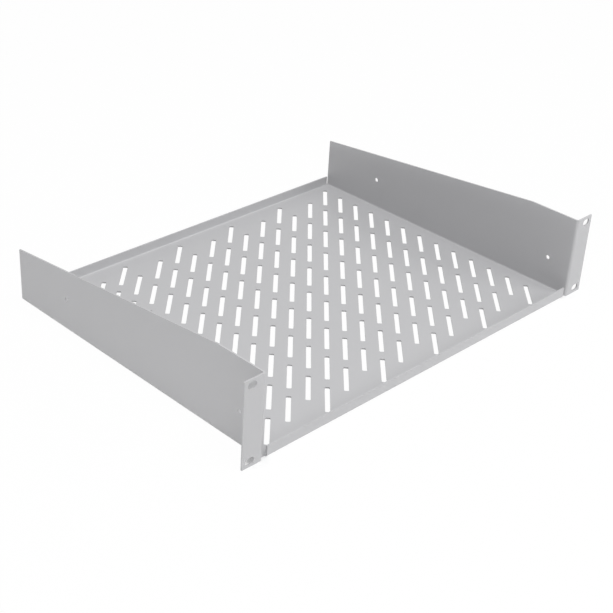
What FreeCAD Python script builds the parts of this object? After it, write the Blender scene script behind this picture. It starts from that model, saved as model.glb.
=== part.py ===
"""Cantilever rack shelf, two rack units high, folded from one sheet of steel.

Frame: millimetres, +Z up, +Y from the front to the rear, +X to the right seen
from the front. The origin is the centre of the rack hole pattern, in the plane
of the front faces of the ears.

The sheet is laid flat as the floor, then folded up at both sides into walls,
up at the front and the rear into low lips, and outward at the front of each
wall into a rack ear. Every fold has the same outer radius, and gaps in the
blank keep the folds clear of each other at the corners.
"""
import FreeCAD, Part
import math
import os

from FreeCAD import Vector

# Rack standard: a 19 inch panel, the rails behind its ends and their holes.
RACK_UNIT = 44.45
UNITS_HIGH = 2
PANEL_CLEARANCE = 0.8
PANEL_WIDTH = 482.6
RAIL_LAP = 16.3
RACK_HOLE_SETBACK_X = 8.75
RACK_HOLE_SETBACK_Z = 6.35

# Sheet and folds.
SHEET = 1.5
FOLD_RADIUS = 3.0

# Overall form.
SIDE_CLEARANCE = 6.0
DEPTH = 350.0
WALL_FALL = 31.1
WALL_LEVEL_LENGTH = 57.0
LIP_HEIGHT = 12.0
FRONT_LIP_GAP = 6.5
CORNER_SLIT = 1.0
REAR_LIP_GAP = 4.0

# Openings. A setback runs from an outer edge to the centre of the first opening.
RACK_SLOT_WIDTH = 7.0
RACK_SLOT_LENGTH = 10.0
VENT_WIDTH = 4.8
VENT_LENGTH = 40.0
VENT_CORNER_RADIUS = 1.0
VENT_CORNER_STEPS = 2
VENT_ANGLE = 45.0
VENT_ROWS = 25
VENT_COLUMNS = 6
VENT_SETBACK_X = 31.5
VENT_SETBACK_Y = 26.2
WALL_HOLE_DIAMETER = 4.8
WALL_HOLE_HEIGHT = 34.5
WALL_HOLE_FRONT_SETBACK = 29.0
WALL_HOLE_REAR_SETBACK = 77.0

# Worked out from the sizes above.
PANEL_HEIGHT = UNITS_HIGH * RACK_UNIT - PANEL_CLEARANCE
RACK_HOLE_PITCH_X = PANEL_WIDTH - 2 * RACK_HOLE_SETBACK_X
RACK_HOLE_PITCH_Z = UNITS_HIGH * RACK_UNIT - 2 * RACK_HOLE_SETBACK_Z
TOP = PANEL_HEIGHT / 2
BASE = -TOP
WALL_REAR_TOP = TOP - WALL_FALL
FOLD_LEVEL = BASE + FOLD_RADIUS
BODY_HALF = PANEL_WIDTH / 2 - RAIL_LAP - SIDE_CLEARANCE
WALL_INNER = BODY_HALF - SHEET
WALL_FOOT_START = FOLD_RADIUS + CORNER_SLIT
FLOOR_HALF = BODY_HALF - FOLD_RADIUS
EAR_START = WALL_INNER + FOLD_RADIUS
FRONT_LIP_HALF = BODY_HALF - FRONT_LIP_GAP
REAR_LIP_HALF = BODY_HALF - REAR_LIP_GAP
VENT_REACH = BODY_HALF - VENT_SETBACK_X
VENT_PITCH_X = 2 * VENT_REACH / (VENT_COLUMNS - 1)
VENT_PITCH_Y = (DEPTH - 2 * VENT_SETBACK_Y) / (VENT_ROWS - 1)

# Cutters start one sheet in front of the face they enter and end one behind it.
CUT_MARGIN = SHEET
CUT_DEPTH = SHEET + 2 * CUT_MARGIN

QUARTER_TURN = 90

UP = Vector(0, 0, 1)
RIGHT = Vector(1, 0, 0)
REARWARD = Vector(0, 1, 0)


def fold(section_normal, centre, outer_start, length):
    """A quarter turn of sheet about an axis through centre, swept along section_normal.

    outer_start points from the centre to where the outer face begins, and the
    quarter runs from there by the right-hand rule about section_normal.
    """
    inner_start = Vector(outer_start).normalize().multiply(FOLD_RADIUS - SHEET)
    edge = Part.LineSegment(centre + inner_start, centre + outer_start).toShape()
    section = edge.revolve(centre, section_normal, QUARTER_TURN)
    return section.extrude(section_normal * length)


def plate(corners, thickness_vector):
    """A flat stretch of the sheet: a polygon pushed out by the thickness."""
    outline = Part.makePolygon(corners + [corners[0]])
    return Part.Face(outline).extrude(thickness_vector)


def obround(length, width, centre, along, through):
    """A cutter for a slot with round ends, pushed through the sheet."""
    across = through.cross(along)
    half_straight = (length - width) / 2
    radius = width / 2
    left_end = centre - along * half_straight
    right_end = centre + along * half_straight
    side = across * radius
    edges = [
        Part.LineSegment(left_end - side, right_end - side),
        Part.Arc(right_end - side, right_end + along * radius, right_end + side),
        Part.LineSegment(right_end + side, left_end + side),
        Part.Arc(left_end + side, left_end - along * radius, left_end - side),
    ]
    outline = Part.Wire([edge.toShape() for edge in edges])
    return Part.Face(outline).extrude(through * CUT_DEPTH)


def floor():
    """The flat floor between the four folds."""
    corner = Vector(-FLOOR_HALF, FOLD_RADIUS, BASE)
    return Part.makeBox(2 * FLOOR_HALF, DEPTH - 2 * FOLD_RADIUS, SHEET, corner)


def front_lip():
    """The front lip, short of both walls so that the ears can be folded."""
    centre = Vector(-FRONT_LIP_HALF, FOLD_RADIUS, FOLD_LEVEL)
    bend = fold(RIGHT, centre, REARWARD * -FOLD_RADIUS, 2 * FRONT_LIP_HALF)
    corner = Vector(-FRONT_LIP_HALF, 0, FOLD_LEVEL)
    upright = Part.makeBox(2 * FRONT_LIP_HALF, SHEET, LIP_HEIGHT - FOLD_RADIUS, corner)
    return [bend, upright]


def rear_lip():
    """The rear lip, which leaves a narrow slit beside each wall."""
    centre = Vector(-REAR_LIP_HALF, DEPTH - FOLD_RADIUS, FOLD_LEVEL)
    bend = fold(RIGHT, centre, UP * -FOLD_RADIUS, 2 * REAR_LIP_HALF)
    corner = Vector(-REAR_LIP_HALF, DEPTH - SHEET, FOLD_LEVEL)
    upright = Part.makeBox(2 * REAR_LIP_HALF, SHEET, LIP_HEIGHT - FOLD_RADIUS, corner)
    return [bend, upright]


def right_wall():
    """The right wall: level behind the ear, then falling straight to the rear."""
    centre = Vector(FLOOR_HALF, DEPTH, FOLD_LEVEL)
    bend = fold(REARWARD * -1, centre, UP * -FOLD_RADIUS, DEPTH - WALL_FOOT_START)
    outline = [
        Vector(WALL_INNER, FOLD_RADIUS, FOLD_LEVEL),
        Vector(WALL_INNER, DEPTH, FOLD_LEVEL),
        Vector(WALL_INNER, DEPTH, WALL_REAR_TOP),
        Vector(WALL_INNER, WALL_LEVEL_LENGTH, TOP),
        Vector(WALL_INNER, FOLD_RADIUS, TOP),
    ]
    return [bend, plate(outline, RIGHT * SHEET)]


def right_ear():
    """The right ear, folded over its whole height; a slit frees it from the wall's foot."""
    centre = Vector(EAR_START, FOLD_RADIUS, BASE)
    bend = fold(UP, centre, RIGHT * -FOLD_RADIUS, PANEL_HEIGHT)
    corner = Vector(EAR_START, 0, BASE)
    ear = Part.makeBox(PANEL_WIDTH / 2 - EAR_START, SHEET, PANEL_HEIGHT, corner)
    return [bend, ear]


def mirrored(shape):
    """The same shape on the left side."""
    return shape.mirror(Vector(0, 0, 0), RIGHT)


def rack_slots():
    """Level slots through the ears, on the rack's hole pattern."""
    cutters = []
    for x in (-RACK_HOLE_PITCH_X / 2, RACK_HOLE_PITCH_X / 2):
        for z in (-RACK_HOLE_PITCH_Z / 2, RACK_HOLE_PITCH_Z / 2):
            centre = Vector(x, -CUT_MARGIN, z)
            cutters.append(obround(RACK_SLOT_LENGTH, RACK_SLOT_WIDTH, centre, RIGHT, REARWARD))
    return cutters


def vent_outline():
    """One vent about the origin: straight sides and ends, each corner taken off in flats."""
    inset_x = VENT_LENGTH / 2 - VENT_CORNER_RADIUS
    inset_y = VENT_WIDTH / 2 - VENT_CORNER_RADIUS
    outline = []
    for quarter, (side_x, side_y) in enumerate(((1, 1), (-1, 1), (-1, -1), (1, -1))):
        for step in range(VENT_CORNER_STEPS + 1):
            angle = math.radians(QUARTER_TURN * (quarter + step / VENT_CORNER_STEPS))
            x = side_x * inset_x + VENT_CORNER_RADIUS * math.cos(angle)
            y = side_y * inset_y + VENT_CORNER_RADIUS * math.sin(angle)
            outline.append(Vector(x, y, 0))
    return outline


def vents():
    """Slanting slots over the floor, in rows of full and staggered columns."""
    one_vent = plate(vent_outline(), UP * CUT_DEPTH)
    one_vent.rotate(Vector(0, 0, 0), UP, VENT_ANGLE)
    cutters = []
    for row in range(VENT_ROWS):
        stagger = row % 2
        for column in range(VENT_COLUMNS - stagger):
            x = (column + stagger / 2) * VENT_PITCH_X - VENT_REACH
            y = row * VENT_PITCH_Y + VENT_SETBACK_Y
            cutters.append(one_vent.translated(Vector(x, y, BASE - CUT_MARGIN)))
    return cutters


def wall_holes():
    """Two small round holes through each wall."""
    cutters = []
    for y in (WALL_HOLE_FRONT_SETBACK, DEPTH - WALL_HOLE_REAR_SETBACK):
        for x in (-BODY_HALF - CUT_MARGIN, WALL_INNER - CUT_MARGIN):
            start = Vector(x, y, BASE + WALL_HOLE_HEIGHT)
            cutters.append(Part.makeCylinder(WALL_HOLE_DIAMETER / 2, CUT_DEPTH, start, RIGHT))
    return cutters


def shelf_tray():
    """The whole folded sheet as one solid."""
    right_side = right_wall() + right_ear()
    left_side = [mirrored(shape) for shape in right_side]
    folded = floor().fuse(front_lip() + rear_lip() + right_side + left_side)
    folded = folded.removeSplitter()
    return folded.cut(rack_slots() + vents() + wall_holes())


def export(name, shape):
    """Write one closed solid to parts/NAME.step."""
    solid = shape.Solids[0]
    if len(shape.Solids) != 1 or not solid.isValid():
        raise ValueError(name + " is not one valid solid")
    solid.exportStep(os.path.join("parts", name + ".step"))
    print(name, round(solid.Volume, 1), solid.BoundBox)


os.makedirs("parts", exist_ok=True)
export("shelf_tray", shelf_tray())
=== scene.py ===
"""Looks for the cantilever rack shelf: one folded and powder coated steel sheet."""
import math

import bpy
from mathutils import Matrix, Vector


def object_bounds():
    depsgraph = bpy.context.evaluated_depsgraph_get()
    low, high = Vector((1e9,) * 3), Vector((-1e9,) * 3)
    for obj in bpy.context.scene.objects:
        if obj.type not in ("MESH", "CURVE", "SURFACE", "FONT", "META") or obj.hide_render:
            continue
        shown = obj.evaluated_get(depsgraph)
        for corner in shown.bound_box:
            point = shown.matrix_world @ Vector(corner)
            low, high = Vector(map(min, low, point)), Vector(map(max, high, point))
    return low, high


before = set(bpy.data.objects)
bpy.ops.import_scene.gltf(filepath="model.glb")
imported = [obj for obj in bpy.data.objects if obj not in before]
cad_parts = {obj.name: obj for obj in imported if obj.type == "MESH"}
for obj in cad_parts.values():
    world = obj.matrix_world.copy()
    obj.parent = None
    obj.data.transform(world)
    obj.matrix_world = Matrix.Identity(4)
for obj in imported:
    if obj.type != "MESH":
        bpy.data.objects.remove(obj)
cad_low, cad_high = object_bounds()


# --- The folded sheet ---------------------------------------------------------
# One steel sheet, cut, punched and folded, then coated in light grey satin powder,
# which bakes to a fine, slightly uneven skin. Painted shade darkens the cut faces
# of the vents, and a painted highlight lightens the upper rim.

class Wire:
    """One output of a node, with arithmetic that adds Math nodes to its tree."""

    def __init__(self, tree, socket):
        self.tree = tree
        self.socket = socket

    def node(self, kind, settings=None, sockets=None):
        """Adds a node: settings first, then its sockets' values or wires."""
        made = self.tree.nodes.new(kind)
        for name, value in (settings or {}).items():
            setattr(made, name, value)
        for name, value in (sockets or {}).items():
            if isinstance(value, Wire):
                self.tree.links.new(value.socket, made.inputs[name])
            else:
                made.inputs[name].default_value = value
        return made

    def out(self, made, name):
        return Wire(self.tree, made.outputs[name])

    def maths(self, operation, first, second):
        made = self.node("ShaderNodeMath", {"operation": operation}, {0: first, 1: second})
        return self.out(made, "Value")

    def __add__(self, other):
        return self.maths("ADD", self, other)

    def __radd__(self, other):
        return self.maths("ADD", other, self)

    def __sub__(self, other):
        return self.maths("SUBTRACT", self, other)

    def __rsub__(self, other):
        return self.maths("SUBTRACT", other, self)

    def __mul__(self, other):
        return self.maths("MULTIPLY", self, other)

    def __rmul__(self, other):
        return self.maths("MULTIPLY", other, self)

    def __pow__(self, other):
        return self.maths("POWER", self, other)

    def __rpow__(self, other):
        return self.maths("POWER", other, self)

    def __gt__(self, other):
        return self.maths("GREATER_THAN", self, other)

    def __lt__(self, other):
        return self.maths("LESS_THAN", self, other)

    def __abs__(self):
        return self.maths("ABSOLUTE", self, 0.0)


def empty_tree(owner):
    """Gives a material or a world an empty node tree, and a wire to build it with."""
    owner.use_nodes = True
    owner.node_tree.nodes.clear()
    return Wire(owner.node_tree, None)


NOISE_DETAIL = 2.0
NOISE_ROUGHNESS = 0.5
NOISE_MIDDLE = 0.5


def noise(w, place, per_metre):
    """A soft noise pattern that swings about zero, with so many grains to the metre."""
    pattern = w.node("ShaderNodeTexNoise", {}, {
        "Vector": place, "Scale": per_metre,
        "Detail": NOISE_DETAIL, "Roughness": NOISE_ROUGHNESS})
    return w.out(pattern, "Fac") - NOISE_MIDDLE


COAT_COLOUR = 0.518
COAT_BLUE = 1.022
COAT_MOTTLE = 0.012
COAT_ROUGHNESS = 0.42
ROUGHNESS_SWING = 0.06
CLOUDS_PER_METRE = 14.0
PEEL_PER_METRE = 900.0
PEEL_HEIGHT = 0.00002
PEEL_STRENGTH = 0.35
SHEET = 0.0015
SKIN = 0.00005
LIP_FOOT = 0.004
# Painted shade, darkening the cut faces of the vents.
CUT_FACE_PAINTED_SHADE = 0.22
# Painted highlight, lightening the upper rim.
TOP_RIM_PAINTED_HIGHLIGHT = 0.09

coat = bpy.data.materials.new("powder_coat")
w = empty_tree(coat)
place = w.out(w.node("ShaderNodeTexCoord"), "Object")
clouds = noise(w, place, CLOUDS_PER_METRE)
peel = noise(w, place, PEEL_PER_METRE)

split = w.node("ShaderNodeSeparateXYZ", {}, {"Vector": place})
depth = w.out(split, "Y")
level = w.out(split, "Z")
between_lips = (depth > LIP_FOOT) * (depth < cad_high.y - LIP_FOOT)
within_sheet = (level > cad_low.z + SKIN) * (level < cad_low.z + SHEET - SKIN)
# The cut faces of the vents, within the floor sheet's thickness, get painted shade.
painted_shade_faces = between_lips * within_sheet
# The upper rim, the top faces of the ears and walls, gets a painted highlight.
painted_highlight_rim = level > cad_high.z - SKIN

tone = COAT_COLOUR + (clouds + peel) * COAT_MOTTLE
# Painted shade darkens the vents' cut faces and a painted highlight lightens the upper rim.
tone = tone * (1.0 - painted_shade_faces * CUT_FACE_PAINTED_SHADE) * (1.0 + painted_highlight_rim * TOP_RIM_PAINTED_HIGHLIGHT)
colour = w.node("ShaderNodeCombineColor", {}, {
    "Red": tone, "Green": tone, "Blue": tone * COAT_BLUE})
bump = w.node("ShaderNodeBump", {}, {
    "Strength": PEEL_STRENGTH, "Distance": PEEL_HEIGHT, "Height": peel})
surface = w.node("ShaderNodeBsdfPrincipled", {}, {
    "Base Color": w.out(colour, "Color"),
    "Roughness": COAT_ROUGHNESS + clouds * ROUGHNESS_SWING,
    "Normal": w.out(bump, "Normal")})
w.node("ShaderNodeOutputMaterial", {}, {"Surface": w.out(surface, "BSDF")})

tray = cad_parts["shelf_tray"]
for slot in tray.material_slots:
    slot.material = coat


# --- Studio floor and sky -----------------------------------------------------
# A wide sheet of white paper under an even white sky. Both show white, and the
# paper keeps the shelf's soft shadow. Behind each ear, in the corner between the
# ear and the wall's foot, the paper shows only the little light that it gets.

WHITE = (1.0, 1.0, 1.0, 1.0)
FLOOR_REACH = 8.0
FLOOR_GAP = 0.0002
FLOOR_COLOUR = (0.9, 0.9, 0.9, 1.0)
FLOOR_WHITE_SHARE = 0.975
CORNER_SHADE = 0.96
CORNER_X = 0.222
CORNER_Y = 0.003
CORNER_CORE = 0.0056
CORNER_REACH = 0.014
SKY_STRENGTH = 0.3


def background_share(w):
    """1 for a ray from the camera, a mirror or glass, which shows the background white."""
    path = w.node("ShaderNodeLightPath")
    camera_ray, glossy_ray, transmission_ray = (
        w.out(path, kind) for kind in ("Is Camera Ray", "Is Glossy Ray", "Is Transmission Ray"))
    return 1.0 - (1.0 - camera_ray) * (1.0 - glossy_ray) * (1.0 - transmission_ray)


bpy.ops.mesh.primitive_plane_add(size=2 * FLOOR_REACH, location=(0, 0, cad_low.z - FLOOR_GAP))
studio_floor = bpy.context.object
studio_floor.name = "studio_floor"
paper = bpy.data.materials.new("white_paper")
w = empty_tree(paper)
place = w.out(w.node("ShaderNodeTexCoord"), "Object")
split = w.node("ShaderNodeSeparateXYZ", {}, {"Vector": place})
aside = abs(w.out(split, "X")) - CORNER_X
behind = w.out(split, "Y") - CORNER_Y
distance = (aside * aside + behind * behind) ** 0.5
shade = w.node("ShaderNodeMapRange", {"interpolation_type": "SMOOTHSTEP"}, {
    "Value": distance, "From Min": CORNER_CORE, "From Max": CORNER_REACH,
    "To Min": CORNER_SHADE, "To Max": 0.0})
share = background_share(w) * (FLOOR_WHITE_SHARE - w.out(shade, "Result"))
matt = w.node("ShaderNodeBsdfDiffuse", {}, {"Color": FLOOR_COLOUR})
glow = w.node("ShaderNodeEmission", {}, {"Color": WHITE, "Strength": 1.0})
mixed = w.node("ShaderNodeMixShader", {}, {
    0: share, 1: w.out(matt, "BSDF"), 2: w.out(glow, "Emission")})
w.node("ShaderNodeOutputMaterial", {}, {"Surface": w.out(mixed, "Shader")})
studio_floor.data.materials.append(paper)

sky = bpy.data.worlds.new("even_sky")
bpy.context.scene.world = sky
w = empty_tree(sky)
lighting = w.node("ShaderNodeBackground", {}, {"Color": WHITE, "Strength": SKY_STRENGTH})
showing = w.node("ShaderNodeBackground", {}, {"Color": WHITE, "Strength": 1.0})
mixed = w.node("ShaderNodeMixShader", {}, {
    0: background_share(w), 1: w.out(lighting, "Background"), 2: w.out(showing, "Background")})
w.node("ShaderNodeOutputWorld", {}, {"Surface": w.out(mixed, "Shader")})


# --- Lamps --------------------------------------------------------------------
# A broad soft lamp stands high in front, a small one low at the left lights the
# outside of the left wall, and a third in front to the right fills the ears.

SHELF_CENTRE = Vector((0, (cad_low.y + cad_high.y) / 2, 0))
LAMP_DISTANCE = 2.2


def direction(azimuth, elevation):
    """From the shelf towards something: azimuth from the front, elevation above level."""
    level = math.cos(elevation)
    return Vector((math.sin(azimuth) * level, -math.cos(azimuth) * level, math.sin(elevation)))


def soft_lamp(name, azimuth, elevation, size, watts):
    """A square lamp that faces the middle of the shelf."""
    data = bpy.data.lights.new(name, "AREA")
    data.shape = "SQUARE"
    data.size = size
    data.energy = watts
    lamp = bpy.data.objects.new(name, data)
    bpy.context.collection.objects.link(lamp)
    back = direction(math.radians(azimuth), math.radians(elevation))
    lamp.location = SHELF_CENTRE + back * LAMP_DISTANCE
    lamp.rotation_euler = back.to_track_quat("Z", "Y").to_euler()


soft_lamp("key_lamp", azimuth=-22, elevation=68, size=1.6, watts=36.2)
soft_lamp("left_lamp", azimuth=-90, elevation=1, size=0.12, watts=5.8)
soft_lamp("right_lamp", azimuth=28, elevation=24, size=0.9, watts=10.9)


# --- Camera -------------------------------------------------------------------
# It stands to the front left and above, more than a metre off, turned a little
# about its own axis.

CAMERA_AZIMUTH = math.radians(-46.093)
CAMERA_ELEVATION = math.radians(30.158)
CAMERA_ROLL = math.radians(3.31)
CAMERA_DISTANCE = 1.33389
CAMERA_TARGET = Vector((-0.01553, 0.16508, cad_low.z))
CAMERA_LENS = 77.322
CAMERA_SENSOR = 36
CAMERA_SHIFT = 0.01628

camera_data = bpy.data.cameras.new("camera")
camera_data.lens = CAMERA_LENS
camera_data.sensor_width = CAMERA_SENSOR
camera_data.shift_x = CAMERA_SHIFT
camera = bpy.data.objects.new("camera", camera_data)
bpy.context.collection.objects.link(camera)
back = direction(CAMERA_AZIMUTH, CAMERA_ELEVATION)
stand = Matrix.Translation(CAMERA_TARGET + back * CAMERA_DISTANCE)
facing = back.to_track_quat("Z", "Y").to_matrix().to_4x4()
turn = Matrix.Rotation(CAMERA_ROLL, 4, "Z")
camera.matrix_world = stand @ facing @ turn
bpy.context.scene.camera = camera

bpy.context.scene.view_settings.view_transform = "Standard"
